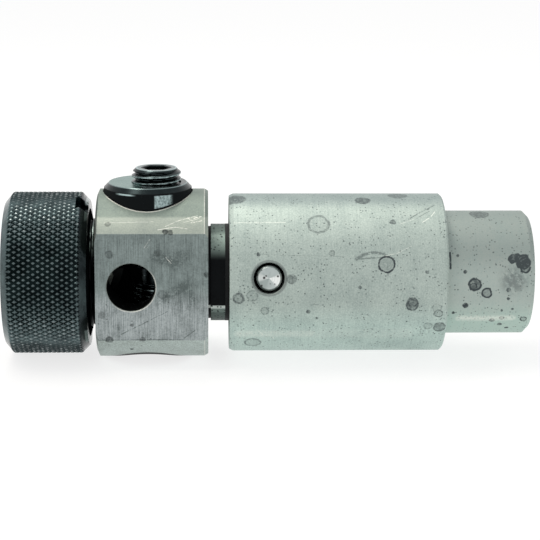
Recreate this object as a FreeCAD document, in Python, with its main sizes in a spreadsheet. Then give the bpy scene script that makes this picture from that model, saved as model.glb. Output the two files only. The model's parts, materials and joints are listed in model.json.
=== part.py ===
import FreeCAD, Part
import os
import re

import Sketcher

# Driving sizes in millimetres and degrees. The axis is X, the shoulder of the shank is at X = 0,
# the shank points to +X, the jaw screw to +Z and the window to -Y.
SIZES = {
    # shank and housing
    "shank_dia": 25.0,
    "shank_length": 17.7,
    "shank_chamfer": 1.0,
    "housing_dia": 32.0,
    "housing_length": 43.0,
    "housing_front_bevel": 0.8,
    "housing_front_drop": 0.4,
    "housing_rear_chamfer": 0.4,
    "mouth_chamfer": 0.3,
    # cross pin that drives the head
    "pin_dia": 5.0,
    "pin_room": 0.55,
    "pin_sink_width": 0.4,
    "pin_sink_depth": 0.45,
    "pin_from_front": 7.7,
    "pin_inset": 0.3,
    "pin_tilt": 8.8,
    "pin_chamfer": 0.35,
    # round block that carries the jaws
    "neck_gap": 4.2,
    "block_dia": 34.0,
    "block_length": 22.25,
    "block_flats": 26.4,
    "block_front_bevel": 0.45,
    "block_front_drop": 1.0,
    "block_rear_bevel": 0.7,
    "block_rear_drop": 0.45,
    # neck and spindle
    "spindle_dia": 19.7,
    "float_room": 0.45,
    "neck_relief_width": 0.5,
    "neck_relief_depth": 0.45,
    "spindle_in_housing": 15.0,
    "spigot_step": 5.85,
    "spigot_length": 1.2,
    # rubber centring ring
    "ring_wall": 2.45,
    "ring_length": 1.6,
    "ring_lip_length": 0.8,
    "ring_lip_step": 0.4,
    # window and cross bore
    "window_dia": 9.6,
    "window_break": 0.12,
    "window_from_front": 7.05,
    "jaw_from_front": 10.15,
    "jaw_bore_dia": 18.0,
    "jaw_bore_floor": 0.5,
    "lower_bore_dia": 15.4,
    "tap_way_dia": 11.0,
    # jaws
    "jaw_fit": 0.2,
    "jaw_stand": 1.7,
    "lower_jaw_inset": 2.1,
    "jaw_chamfer": 1.0,
    "jaw_lip": 5.2,
    "jaw_relief": 7.0,
    "vee_depth": 2.2,
    "lip_clearance": 0.4,
    # screw that moves both jaws
    "screw_dia": 9.9,
    "screw_offset": 1.7,
    "screw_stand": 2.9,
    "screw_inset": 1.5,
    "screw_chamfer": 0.85,
    "screw_neck_dia": 6.6,
    "socket_flats": 5.0,
    "socket_depth": 5.0,
    "locating_pin_dia": 3.0,
    "locating_pin_reach": 8.5,
    "locating_pin_inset": 0.3,
    # threaded nose, nut and collet
    "nose_wall": 2.2,
    "nose_inset": 4.9,
    "nose_chamfer": 0.8,
    "nut_gap": 1.65,
    "nut_wall": 5.85,
    "nut_length": 16.7,
    "nut_front_bevel": 1.5,
    "nut_front_drop": 1.8,
    "nut_rear_chamfer": 1.6,
    "nut_hub_width": 2.5,
    "nut_hub_crown": 0.9,
    "nut_hub_height": 0.4,
    "nut_face_wall": 0.9,
    "nut_mouth_gap": 1.0,
    "nut_pocket_length": 3.6,
    "nut_slot_width": 3.5,
    "nut_slot_length": 2.4,
    "nut_slot_depth": 2.4,
    "nut_slot_tilt": 73.0,
    "thrust_ring_wall": 1.35,
    "thrust_ring_length": 2.6,
    "snap_ring_step": 0.65,
    "snap_ring_reach": 0.55,
    "snap_ring_width": 0.4,
    "collet_inset": 0.6,
    "collet_bore_dia": 8.5,
    "collet_wall": 4.05,
    "collet_mouth_break": 0.4,
    "collet_face_angle": 30.0,
    "collet_neck_depth": 1.1,
    "collet_head": 2.9,
    "collet_neck": 1.3,
    "collet_taper": 8.0,
    "collet_length": 17.2,
    "collet_slot": 0.6,
    "collet_slot_stop": 2.5,
    "collet_gap": 0.1,
    "collet_end_room": 1.0,
    # thrust bearing, springs and their adjuster
    "race_thickness": 1.8,
    "front_race_step": 0.55,
    "rear_race_gap": 0.15,
    "ball_dia": 3.0,
    "ball_circle_inset": 3.45,
    "cage_thickness": 1.0,
    "cage_rim": 1.0,
    "cage_eye": 0.5,
    "spring_side_gap": 0.8,
    "spring_width": 4.3,
    "spring_steel": 0.8,
    "spring_cone": 0.45,
    "seat_side_gap": 0.6,
    "seat_thickness": 2.0,
    "adjuster_dia": 16.0,
    "adjuster_length": 15.0,
    "adjuster_socket": 8.0,
    "lock_screw_length": 6.0,
    "lock_screw_socket": 8.0,
    "screw_end_chamfer": 0.8,
    "thread_mouth_chamfer": 1.0,
    "shoulder_gap": 0.9,
    # working clearances, and how far a cut runs past what it cuts
    "running": 0.06,
    "seating": 0.02,
    "end_play": 0.1,
    "overshoot": 1.0,
}

BALL_COUNT = 8
SLOT_COUNT = 6
SPRING_COUNT = 4

# Radii and heights that follow from the sizes above
FLOAT_BORE = "(spindle_dia / 2 + float_room)"
SPIGOT = "(spindle_dia / 2 - spigot_step)"
UPPER_JAW = "(jaw_bore_dia / 2 - jaw_fit)"
LOWER_JAW = "(lower_bore_dia / 2 - jaw_fit)"
JAW_TOP = "(block_dia / 2 + jaw_stand)"
LOWER_JAW_END = "(block_dia / 2 - lower_jaw_inset)"
SCREW_TOP = f"({JAW_TOP} + screw_stand)"
SCREW_BOTTOM = "(block_dia / 2 - screw_inset)"
COLLET = "(collet_bore_dia / 2 + collet_wall)"
NOSE = f"({COLLET} + nose_wall)"
NUT = f"({NOSE} + nut_wall)"
NUT_BORE = f"({NOSE} + running)"
THRUST_RING = f"({COLLET} + thrust_ring_wall)"
SNAP_OUTER = f"({THRUST_RING} + snap_ring_step)"
SNAP_INNER = f"({THRUST_RING} - snap_ring_reach)"
TAPER = "tan(collet_taper * 1deg)"
FACE_SLOPE = "tan(collet_face_angle * 1deg)"
COLLET_MOUTH = f"({COLLET} - collet_head * {FACE_SLOPE})"
NUT_MOUTH = f"({COLLET_MOUTH} + nut_mouth_gap)"
BALL_CIRCLE = "(spindle_dia / 2 - ball_circle_inset)"
CAGE_OUTER = f"({BALL_CIRCLE} + ball_dia / 2 + cage_rim)"
CAGE_EYE = f"({BALL_CIRCLE} - ball_dia / 2 - cage_eye)"

# Stations along X
HOUSING_FRONT = "-housing_length"
BLOCK_REAR = f"({HOUSING_FRONT} - neck_gap)"
BLOCK_FRONT = f"({BLOCK_REAR} - block_length)"
NUT_REAR = f"({BLOCK_FRONT} - nut_gap)"
NUT_FRONT = f"({NUT_REAR} - nut_length)"
NOSE_FRONT = f"({NUT_FRONT} + nose_inset)"
PIN_X = f"({HOUSING_FRONT} + pin_from_front)"
SPINDLE_REAR = f"({HOUSING_FRONT} + spindle_in_housing)"
RING_FRONT = f"({HOUSING_FRONT} - ring_lip_length)"
RING_REAR = f"({HOUSING_FRONT} + ring_length)"
WINDOW_X = f"({BLOCK_FRONT} + window_from_front)"
JAW_X = f"({BLOCK_FRONT} + jaw_from_front)"
SCREW_X = f"({JAW_X} + screw_offset)"
LOCATING_X = f"({SCREW_X} + (screw_neck_dia + locating_pin_dia) / 2 + running)"
COLLET_FRONT = f"({NUT_FRONT} + collet_inset)"
COLLET_NECK = f"({COLLET_FRONT} + collet_head)"
COLLET_CONE = f"({COLLET_NECK} + collet_neck)"
COLLET_REAR = f"({COLLET_FRONT} + collet_length)"
COLLET_ROOM = f"({COLLET_REAR} + collet_end_room)"
POCKET_FRONT = f"({NUT_FRONT} + nut_face_wall)"
POCKET_REAR = f"({POCKET_FRONT} + nut_pocket_length)"
THRUST_RING_FRONT = f"({POCKET_FRONT} + seating)"
THRUST_RING_REAR = f"({THRUST_RING_FRONT} + thrust_ring_length)"
SNAP_FRONT = f"({THRUST_RING_REAR} + seating)"
SNAP_REAR = f"({SNAP_FRONT} + snap_ring_width)"
FRONT_RACE_REAR = f"({SPINDLE_REAR} + race_thickness)"
BALL_X = f"({FRONT_RACE_REAR} + seating + ball_dia / 2)"
REAR_RACE_FRONT = f"({BALL_X} + ball_dia / 2 + seating)"
REAR_RACE_REAR = f"({REAR_RACE_FRONT} + race_thickness)"
SPRING_FRONT = f"({REAR_RACE_REAR} + seating)"
SEAT_FRONT = f"({SPRING_FRONT} + {SPRING_COUNT} * (spring_steel + spring_cone))"
SEAT_REAR = f"({SEAT_FRONT} + seat_thickness)"
ADJUSTER_REAR = f"({SEAT_REAR} + adjuster_length)"
LOCK_REAR = f"({ADJUSTER_REAR} + lock_screw_length)"
BORE_END = f"({SEAT_REAR} + shoulder_gap)"

doc = FreeCAD.newDocument("floating_tap_chuck")
sheet = doc.addObject("Spreadsheet::Sheet", "Sizes")
nodes = []


def fill_sheet():
    for row, (name, value) in enumerate(SIZES.items(), start=1):
        sheet.set(f"A{row}", name)
        sheet.set(f"B{row}", str(value))
        sheet.setAlias(f"B{row}", name)
    doc.recompute()


def bound(expression):
    """An expression with every size name pointed at the sheet."""
    return re.sub(r"[a-z_]+", lambda m: f"Sizes.{m[0]}" if m[0] in SIZES else m[0], str(expression))


def number(expression):
    value = sheet.evalExpression(bound(expression))
    return float(getattr(value, "Value", value))


# Sketches and features
def new_body(label):
    body = doc.addObject("PartDesign::Body", label)
    body.Label = label
    nodes.append(body)
    return body


def plane_of(body, role):
    return next(f for f in body.Origin.OriginFeatures if f.Role == role)


def new_sketch(body, plane, name, offset=None, tilt=None):
    sketch = body.newObject("Sketcher::SketchObject", f"{body.Name}_{name}")
    sketch.AttachmentSupport = [(plane_of(body, plane), "")]
    sketch.MapMode = "FlatFace"
    if tilt:
        level = FreeCAD.Rotation(FreeCAD.Vector(1, 0, 0), 0)
        sketch.AttachmentOffset = FreeCAD.Placement(FreeCAD.Vector(), level)
        sketch.setExpression("AttachmentOffset.Rotation.Angle", bound(tilt))
    if offset:
        sketch.setExpression("AttachmentOffset.Base.z", bound(offset))
    return sketch


def place_point(sketch, edge, end, across, up):
    for kind, expression in (("DistanceX", across), ("DistanceY", up)):
        index = sketch.addConstraint(Sketcher.Constraint(kind, -1, 1, edge, end, number(expression)))
        sketch.setExpression(f"Constraints[{index}]", bound(expression))


def draw_outline(sketch, points):
    """A closed outline of straight lines, each corner held by its own sizes."""
    corners = [FreeCAD.Vector(number(across), number(up), 0) for across, up in points]
    first = sketch.GeometryCount
    for start, end in zip(corners, corners[1:] + corners[:1]):
        sketch.addGeometry(Part.LineSegment(start, end), False)
    count = len(points)
    for index, (across, up) in enumerate(points):
        after = first + (index + 1) % count
        sketch.addConstraint(Sketcher.Constraint("Coincident", first + index, 2, after, 1))
        place_point(sketch, first + index, 1, across, up)


def draw_circle(sketch, across, up, diameter):
    centre = FreeCAD.Vector(number(across), number(up), 0)
    edge = sketch.addGeometry(Part.Circle(centre, FreeCAD.Vector(0, 0, 1), number(diameter) / 2), False)
    place_point(sketch, edge, 3, across, up)
    index = sketch.addConstraint(Sketcher.Constraint("Diameter", edge, number(diameter)))
    sketch.setExpression(f"Constraints[{index}]", bound(diameter))


def draw_axis(sketch, across):
    """A construction line across the part, round which a cross hole or a cross piece turns."""
    ends = [FreeCAD.Vector(number(across), number(height), 0) for height in ("-overshoot", "overshoot")]
    edge = sketch.addGeometry(Part.LineSegment(*ends), True)
    place_point(sketch, edge, 1, across, "-overshoot")
    place_point(sketch, edge, 2, across, "overshoot")


def turn(body, name, points, cut=False):
    """A profile in X and radius, turned round the part's axis."""
    sketch = new_sketch(body, "XY_Plane", name)
    draw_outline(sketch, points)
    return revolve(body, sketch, "H_Axis", cut)


def turn_across(body, name, plane, across, points, cut=False, tilt=None):
    """A profile in radius and height, turned round a line that crosses the part at one X."""
    sketch = new_sketch(body, plane, name, tilt=tilt)
    draw_outline(sketch, [(f"{across} + {radius}", height) for radius, height in points])
    draw_axis(sketch, across)
    return revolve(body, sketch, "Axis0", cut)


def revolve(body, sketch, axis, cut):
    kind = "PartDesign::Groove" if cut else "PartDesign::Revolution"
    feature = body.newObject(kind, f"{sketch.Name}_turned")
    feature.Profile = sketch
    feature.ReferenceAxis = (sketch, [axis])
    feature.Angle = 360
    finish(body, feature, cut)
    return feature


def extrude(body, sketch, length, cut=False, both=False, back=False):
    kind = "PartDesign::Pocket" if cut else "PartDesign::Pad"
    feature = body.newObject(kind, f"{sketch.Name}_made")
    feature.Profile = sketch
    feature.SideType = "Symmetric" if both else "One side"
    feature.Reversed = back
    feature.setExpression("Length", bound(length))
    finish(body, feature, cut)
    return feature


def finish(body, feature, cut):
    """Recompute, and stop if a cut took nothing away."""
    before = feature.BaseFeature.Shape.Volume if feature.BaseFeature else 0
    doc.recompute()
    change = feature.Shape.Volume - before
    if (change > -1e-6) if cut else (change < 1e-6):
        raise RuntimeError(f"{body.Label}: {feature.Name} changed the volume by {change:.4f}")


def repeat_round(body, feature, count):
    pattern = body.newObject("PartDesign::PolarPattern", f"{feature.Name}_ring")
    pattern.Originals = [feature]
    pattern.Axis = (plane_of(body, "X_Axis"), [""])
    pattern.Angle = 360
    pattern.Occurrences = count
    body.Tip = pattern
    doc.recompute()
    return pattern


def hexagon(across_flats):
    """Corners of a hexagon round the sketch's centre, two flats level."""
    side = f"{across_flats} / sqrt(3)"
    half = f"{across_flats} / 2"
    return [
        (side, "0"),
        (f"{side} / 2", half),
        (f"-{side} / 2", half),
        (f"-{side}", "0"),
        (f"-{side} / 2", f"-{half}"),
        (f"{side} / 2", f"-{half}"),
    ]


def moved(points, across, up="0"):
    return [(f"{x} + {across}", f"{y} + {up}") for x, y in points]


# Housing with its shank, float bore, adjuster thread and cross pin holes
def make_housing():
    body = new_body("housing")
    outer, inner = "housing_dia / 2", "shank_dia / 2"
    bore, thread = FLOAT_BORE, "adjuster_dia / 2"
    turn(body, "profile", [
        (HOUSING_FRONT, f"{bore} + mouth_chamfer"),
        (HOUSING_FRONT, f"{outer} - housing_front_drop"),
        (f"{HOUSING_FRONT} + housing_front_bevel", outer),
        ("-housing_rear_chamfer", outer),
        ("0", f"{outer} - housing_rear_chamfer"),
        ("0", inner),
        ("shank_length - shank_chamfer", inner),
        ("shank_length", f"{inner} - shank_chamfer"),
        ("shank_length", f"{thread} + thread_mouth_chamfer"),
        ("shank_length - thread_mouth_chamfer", thread),
        (BORE_END, thread),
        (BORE_END, bore),
        (f"{HOUSING_FRONT} + mouth_chamfer", bore),
    ])
    sink = f"{outer} - pin_sink_depth"
    hole, past = "(pin_dia / 2 + pin_room)", f"{outer} + overshoot"
    wide = f"{hole} + pin_sink_width"
    turn_across(body, "pin_holes", "XY_Plane", PIN_X, [
        ("0", f"-({past})"),
        (wide, f"-({past})"),
        (wide, f"-({outer})"),
        (hole, f"-({sink})"),
        (hole, sink),
        (wide, outer),
        (wide, past),
        ("0", past),
    ], cut=True, tilt="-pin_tilt * 1deg")
    return body


# Head in one piece: threaded nose, flatted block, neck and spindle
def make_chuck_body():
    body = new_body("chuck_body")
    block, neck, nose = "block_dia / 2", "spindle_dia / 2", NOSE
    relief = f"{neck} - neck_relief_depth"
    groove = f"{FLOAT_BORE} - ring_wall"
    cone = f"{COLLET} + collet_gap / cos(collet_taper * 1deg)"
    seat_front = f"{cone} - ({NOSE_FRONT} - {COLLET_CONE}) * {TAPER}"
    seat_rear = f"{cone} - ({COLLET_ROOM} - {COLLET_CONE}) * {TAPER}"
    turn(body, "profile", [
        (f"{SPINDLE_REAR} + spigot_length", "0"),
        (f"{SPINDLE_REAR} + spigot_length", SPIGOT),
        (SPINDLE_REAR, SPIGOT),
        (SPINDLE_REAR, neck),
        (f"{RING_REAR} + seating", neck),
        (f"{RING_REAR} + seating", groove),
        (f"{RING_FRONT} - seating", groove),
        (f"{RING_FRONT} - seating", neck),
        (f"{BLOCK_REAR} + neck_relief_width", neck),
        (f"{BLOCK_REAR} + neck_relief_width", relief),
        (BLOCK_REAR, relief),
        (BLOCK_REAR, f"{block} - block_rear_drop"),
        (f"{BLOCK_REAR} - block_rear_bevel", block),
        (f"{BLOCK_FRONT} + block_front_bevel", block),
        (BLOCK_FRONT, f"{block} - block_front_drop"),
        (BLOCK_FRONT, nose),
        (f"{NOSE_FRONT} + nose_chamfer", nose),
        (NOSE_FRONT, f"{nose} - nose_chamfer"),
        (NOSE_FRONT, seat_front),
        (COLLET_ROOM, seat_rear),
        (COLLET_ROOM, "tap_way_dia / 2"),
        (JAW_X, "tap_way_dia / 2"),
        (JAW_X, "0"),
    ])
    cut_flats(body)
    cut_jaw_bore(body)
    cut_window(body)
    cut_pin_ways(body)
    return body


def cut_flats(body):
    sketch = new_sketch(body, "YZ_Plane", "flats", offset=f"{BLOCK_REAR} + overshoot")
    flat, past = "block_flats / 2", "block_dia"
    for side in ("", "-"):
        near, far = f"{side}({flat})", f"{side}{past}"
        draw_outline(sketch, [(near, f"-{past}"), (far, f"-{past}"), (far, past), (near, past)])
    extrude(body, sketch, "block_length + 2 * overshoot", cut=True)


def cut_jaw_bore(body):
    past = "block_dia"
    turn_across(body, "jaw_bore", "XZ_Plane", JAW_X, [
        ("0", f"-{past}"),
        ("lower_bore_dia / 2", f"-{past}"),
        ("lower_bore_dia / 2", "-jaw_bore_floor"),
        ("jaw_bore_dia / 2", "-jaw_bore_floor"),
        ("jaw_bore_dia / 2", past),
        ("0", past),
    ], cut=True)


def cut_window(body):
    flat = "block_flats / 2"
    turn_across(body, "window", "XY_Plane", WINDOW_X, [
        ("0", f"-({flat} + overshoot)"),
        ("window_dia / 2 + window_break", f"-({flat} + overshoot)"),
        ("window_dia / 2 + window_break", f"-({flat})"),
        ("window_dia / 2", f"-({flat} - window_break)"),
        ("window_dia / 2", "-jaw_bore_floor"),
        ("0", "-jaw_bore_floor"),
    ], cut=True)


def cut_pin_ways(body):
    """The pressed cross pin's hole, and the blind hole of the screw's locating pin."""
    reach = "spindle_dia"
    turn_across(body, "drive_hole", "XY_Plane", PIN_X, [
        ("0", f"-{reach}"),
        ("pin_dia / 2 + seating / 2", f"-{reach}"),
        ("pin_dia / 2 + seating / 2", reach),
        ("0", reach),
    ], cut=True, tilt="-pin_tilt * 1deg")
    turn_across(body, "locating_hole", "XY_Plane", LOCATING_X, [
        ("0", "-locating_pin_reach - seating"),
        ("locating_pin_dia / 2 + seating / 2", "-locating_pin_reach - seating"),
        ("locating_pin_dia / 2 + seating / 2", "block_dia / 2"),
        ("0", "block_dia / 2"),
    ], cut=True)


# Rubber ring that centres the spindle in the mouth of the housing
def make_centring_ring():
    body = new_body("centring_ring")
    inner, outer = f"{FLOAT_BORE} - ring_wall + seating", f"{FLOAT_BORE} - seating"
    turn(body, "profile", [
        (RING_FRONT, inner),
        (RING_FRONT, f"{outer} - ring_lip_step"),
        (f"{HOUSING_FRONT} + mouth_chamfer", f"{outer} - ring_lip_step"),
        (f"{HOUSING_FRONT} + mouth_chamfer", outer),
        (RING_REAR, outer),
        (RING_REAR, inner),
    ])


# Cross pin: pressed in the spindle, loose in the housing
def make_drive_pin():
    body = new_body("drive_pin")
    radius, half = "pin_dia / 2", "housing_dia / 2 - pin_inset"
    turn_across(body, "profile", "XY_Plane", PIN_X, [
        ("0", f"-({half})"),
        (f"{radius} - pin_chamfer", f"-({half})"),
        (radius, f"-({half} - pin_chamfer)"),
        (radius, f"{half} - pin_chamfer"),
        (f"{radius} - pin_chamfer", half),
        ("0", half),
    ], tilt="-pin_tilt * 1deg")


# Screw with a right-hand and a left-hand thread, a locating neck between them and a hexagon socket
def make_jaw_screw():
    body = new_body("jaw_screw")
    radius, neck = "screw_dia / 2", "screw_neck_dia / 2"
    half_neck = "(locating_pin_dia / 2 + end_play)"
    turn_across(body, "profile", "XZ_Plane", SCREW_X, [
        ("0", f"-{SCREW_BOTTOM}"),
        (f"{radius} - screw_chamfer", f"-{SCREW_BOTTOM}"),
        (radius, f"-{SCREW_BOTTOM} + screw_chamfer"),
        (radius, f"-{half_neck}"),
        (neck, f"-{half_neck}"),
        (neck, half_neck),
        (radius, half_neck),
        (radius, f"{SCREW_TOP} - screw_chamfer"),
        (f"{radius} - screw_chamfer", SCREW_TOP),
        ("0", SCREW_TOP),
    ])
    sketch = new_sketch(body, "XY_Plane", "socket", offset=SCREW_TOP)
    draw_outline(sketch, moved(hexagon("socket_flats"), SCREW_X))
    extrude(body, sketch, "socket_depth", cut=True)


def make_locating_pin():
    body = new_body("screw_locating_pin")
    radius = "locating_pin_dia / 2"
    turn_across(body, "profile", "XY_Plane", LOCATING_X, [
        ("0", "-locating_pin_reach"),
        (radius, "-locating_pin_reach"),
        (radius, "block_flats / 2 - locating_pin_inset"),
        ("0", "block_flats / 2 - locating_pin_inset"),
    ])


# Jaws: round sliders with a vee across their front lip and a threaded bore behind it
def make_jaw(label, sign, radius, outer_end, chamfer):
    body = new_body(label)
    turn_across(body, "profile", "XZ_Plane", JAW_X, [
        ("0", f"{sign} * jaw_lip"),
        (radius, f"{sign} * jaw_lip"),
        (radius, f"{sign} * ({outer_end} - {chamfer})"),
        (f"{radius} - {chamfer}", f"{sign} * {outer_end}"),
        ("0", f"{sign} * {outer_end}"),
    ])
    sketch = new_sketch(body, "XY_Plane", "screw_way", offset=f"{sign} * jaw_lip")
    draw_circle(sketch, SCREW_X, "0", "screw_dia + 2 * running")
    extrude(body, sketch, "block_dia", cut=True, back=sign > 0)
    cut_relief_and_vee(body, sign)


def cut_relief_and_vee(body, sign):
    past = "block_dia"
    step = f"{SCREW_X} - screw_dia / 2 - lip_clearance"
    sketch = new_sketch(body, "XZ_Plane", "relief")
    draw_outline(sketch, [
        (step, "0"),
        (f"{step} + {past}", "0"),
        (f"{step} + {past}", f"{sign} * jaw_relief"),
        (step, f"{sign} * jaw_relief"),
    ])
    extrude(body, sketch, past, cut=True, both=True)
    vee = new_sketch(body, "YZ_Plane", "vee", offset=JAW_X)
    draw_outline(vee, [
        ("-vee_depth - overshoot", f"{sign} * (jaw_lip - overshoot)"),
        ("vee_depth + overshoot", f"{sign} * (jaw_lip - overshoot)"),
        ("0", f"{sign} * (jaw_lip + vee_depth)"),
    ])
    extrude(body, vee, past, cut=True, both=True)


# Knurled clamping nut with a spanner hub and two spanner slots
def make_clamping_nut():
    body = new_body("clamping_nut")
    pocket, groove = f"{THRUST_RING} + running", f"{SNAP_OUTER} + seating"
    turn(body, "profile", [
        (NUT_FRONT, NUT_MOUTH),
        (NUT_FRONT, f"{NUT} - nut_front_drop"),
        (f"{NUT_FRONT} + nut_front_bevel", NUT),
        (f"{NUT_REAR} - nut_rear_chamfer", NUT),
        (NUT_REAR, f"{NUT} - nut_rear_chamfer"),
        (NUT_REAR, f"{NUT_BORE} + nut_hub_width"),
        (f"{NUT_REAR} + nut_hub_height", f"{NUT_BORE} + nut_hub_crown"),
        (f"{NUT_REAR} + nut_hub_height", NUT_BORE),
        (POCKET_REAR, NUT_BORE),
        (POCKET_REAR, pocket),
        (f"{SNAP_REAR} + seating", pocket),
        (f"{SNAP_REAR} + seating", groove),
        (f"{SNAP_FRONT} - seating / 2", groove),
        (f"{SNAP_FRONT} - seating / 2", pocket),
        (POCKET_FRONT, pocket),
        (POCKET_FRONT, NUT_MOUTH),
    ])
    sketch = new_sketch(body, "YZ_Plane", "spanner_slots", offset=f"{NUT_REAR} - nut_slot_length")
    sketch.setExpression("AttachmentOffset.Rotation.Angle", bound("(90 - nut_slot_tilt) * 1deg"))
    half = "nut_slot_width / 2"
    for side in ("", "-"):
        near, far = f"{side}({NUT} - nut_slot_depth)", f"{side}({NUT} + overshoot)"
        draw_outline(sketch, [(f"-{half}", near), (half, near), (half, far), (f"-{half}", far)])
    extrude(body, sketch, "nut_slot_length + nut_hub_height + overshoot", cut=True, back=True)


# Ring that lets the nut turn on the collet, and the snap ring that keeps it in the nut
def make_nut_rings():
    ring = new_body("nut_thrust_ring")
    line = f"({COLLET_MOUTH} + seating - {COLLET_FRONT} * {FACE_SLOPE})"
    turn(ring, "profile", [
        (THRUST_RING_FRONT, f"{line} + {THRUST_RING_FRONT} * {FACE_SLOPE}"),
        (THRUST_RING_FRONT, THRUST_RING),
        (THRUST_RING_REAR, THRUST_RING),
        (THRUST_RING_REAR, f"{line} + {THRUST_RING_REAR} * {FACE_SLOPE}"),
    ])
    make_plain_ring("nut_snap_ring", SNAP_FRONT, SNAP_REAR, SNAP_OUTER, SNAP_INNER)


# Slotted collet that holds the shank of the tap
def make_collet():
    body = new_body("collet")
    outer, bore = COLLET, "collet_bore_dia / 2"
    turn(body, "profile", [
        (COLLET_FRONT, f"{bore} + collet_mouth_break"),
        (COLLET_FRONT, COLLET_MOUTH),
        (COLLET_NECK, outer),
        (COLLET_NECK, f"{outer} - collet_neck_depth"),
        (COLLET_CONE, f"{outer} - collet_neck_depth"),
        (COLLET_CONE, outer),
        (COLLET_REAR, f"{outer} - ({COLLET_REAR} - {COLLET_CONE}) * {TAPER}"),
        (COLLET_REAR, bore),
        (f"{COLLET_FRONT} + collet_mouth_break", bore),
    ])
    sketch = new_sketch(body, "XY_Plane", "slot")
    half = "collet_slot / 2"
    draw_outline(sketch, [
        (f"{COLLET_FRONT} - overshoot", f"-{half}"),
        (f"{COLLET_REAR} - collet_slot_stop", f"-{half}"),
        (f"{COLLET_REAR} - collet_slot_stop", half),
        (f"{COLLET_FRONT} - overshoot", half),
    ])
    slot = extrude(body, sketch, f"2 * {COLLET}", cut=True, back=True)
    repeat_round(body, slot, SLOT_COUNT)


# Thrust bearing behind the spindle
def make_plain_ring(label, front, rear, outer, inner):
    body = new_body(label)
    turn(body, "profile", [(front, inner), (front, outer), (rear, outer), (rear, inner)])
    return body


def make_thrust_bearing():
    front_outer, front_inner = "spindle_dia / 2 - front_race_step", f"{SPIGOT} + seating"
    make_plain_ring("front_thrust_race", SPINDLE_REAR, FRONT_RACE_REAR, front_outer, front_inner)
    rear_outer = f"{FLOAT_BORE} - rear_race_gap"
    make_plain_ring("rear_thrust_race", REAR_RACE_FRONT, REAR_RACE_REAR, rear_outer, CAGE_EYE)
    front, rear = f"{BALL_X} - cage_thickness / 2", f"{BALL_X} + cage_thickness / 2"
    cage = make_plain_ring("ball_cage", front, rear, CAGE_OUTER, CAGE_EYE)
    sketch = new_sketch(cage, "YZ_Plane", "pocket", offset=BALL_X)
    draw_circle(sketch, "0", BALL_CIRCLE, "ball_dia + 2 * end_play")
    pocket = extrude(cage, sketch, "2 * cage_thickness", cut=True, both=True)
    repeat_round(cage, pocket, BALL_COUNT)
    make_balls()


def make_balls():
    balls = []
    for index in range(BALL_COUNT):
        turned = f"{index * 360 / BALL_COUNT} * 1deg"
        ball = doc.addObject("Part::Sphere", f"ball_{index}")
        ball.setExpression("Radius", bound("ball_dia / 2"))
        ball.setExpression("Placement.Base.x", bound(BALL_X))
        ball.setExpression("Placement.Base.y", bound(f"-{BALL_CIRCLE} * sin({turned})"))
        ball.setExpression("Placement.Base.z", bound(f"{BALL_CIRCLE} * cos({turned})"))
        balls.append(ball)
    group = doc.addObject("Part::Compound", "thrust_balls")
    group.Label = "thrust_balls"
    group.Links = balls
    nodes.append(group)


# Disc springs, set face to face and back to back, with the seat that the adjuster pushes
def make_springs():
    outer = f"{FLOAT_BORE} - spring_side_gap"
    inner = f"{outer} - spring_width"
    for index in range(SPRING_COUNT):
        body = new_body(f"disc_spring_{index + 1}")
        front = f"{SPRING_FRONT} + {index} * (spring_steel + spring_cone)"
        rim, eye = (inner, outer) if index % 2 else (outer, inner)
        turn(body, "profile", [
            (front, rim),
            (f"{front} + spring_steel", rim),
            (f"{front} + spring_steel + spring_cone", eye),
            (f"{front} + spring_cone", eye),
        ])
    make_plain_ring("spring_seat", SEAT_FRONT, SEAT_REAR, f"{FLOAT_BORE} - seat_side_gap", CAGE_EYE)


# Adjusting screw and its lock screw in the thread of the shank
def make_socket_screw(label, front, rear, socket, depth):
    body = new_body(label)
    radius = "adjuster_dia / 2 - seating"
    turn(body, "profile", [
        (front, "0"),
        (front, f"{radius} - screw_end_chamfer"),
        (f"{front} + screw_end_chamfer", radius),
        (f"{rear} - screw_end_chamfer", radius),
        (rear, f"{radius} - screw_end_chamfer"),
        (rear, "0"),
    ])
    sketch = new_sketch(body, "YZ_Plane", "socket", offset=rear)
    draw_outline(sketch, hexagon(socket))
    extrude(body, sketch, depth, cut=True)


def make_adjuster():
    make_socket_screw("thrust_screw", SEAT_REAR, ADJUSTER_REAR, "adjuster_socket", "adjuster_socket")
    make_socket_screw("lock_screw", ADJUSTER_REAR, LOCK_REAR, "lock_screw_socket", "lock_screw_length")


def check_objects():
    for item in doc.Objects:
        if {"Invalid", "Error"} & set(item.State):
            raise RuntimeError(f"{item.Label} failed: {item.State}")
    for node in nodes:
        shape = node.Shape
        if shape.isNull() or not shape.isValid() or not shape.Solids:
            raise RuntimeError(f"{node.Label} has no valid solid")


def write_parts():
    os.makedirs("parts", exist_ok=True)
    for node in nodes:
        node.Shape.exportStep(f"parts/{node.Label}.step")
        print(f"{node.Label}: {len(node.Shape.Solids)} solid(s), {node.Shape.Volume:.1f} mm3")


def main():
    fill_sheet()
    make_housing()
    make_chuck_body()
    make_centring_ring()
    make_drive_pin()
    make_jaw_screw()
    make_locating_pin()
    make_jaw("upper_jaw", 1, UPPER_JAW, JAW_TOP, "jaw_chamfer")
    make_jaw("lower_jaw", -1, LOWER_JAW, LOWER_JAW_END, "jaw_chamfer / 2")
    make_clamping_nut()
    make_nut_rings()
    make_collet()
    make_thrust_bearing()
    make_springs()
    make_adjuster()
    doc.recompute()
    check_objects()
    write_parts()


main()
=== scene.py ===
import json
import math

import bpy
from mathutils import Matrix, Vector


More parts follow.
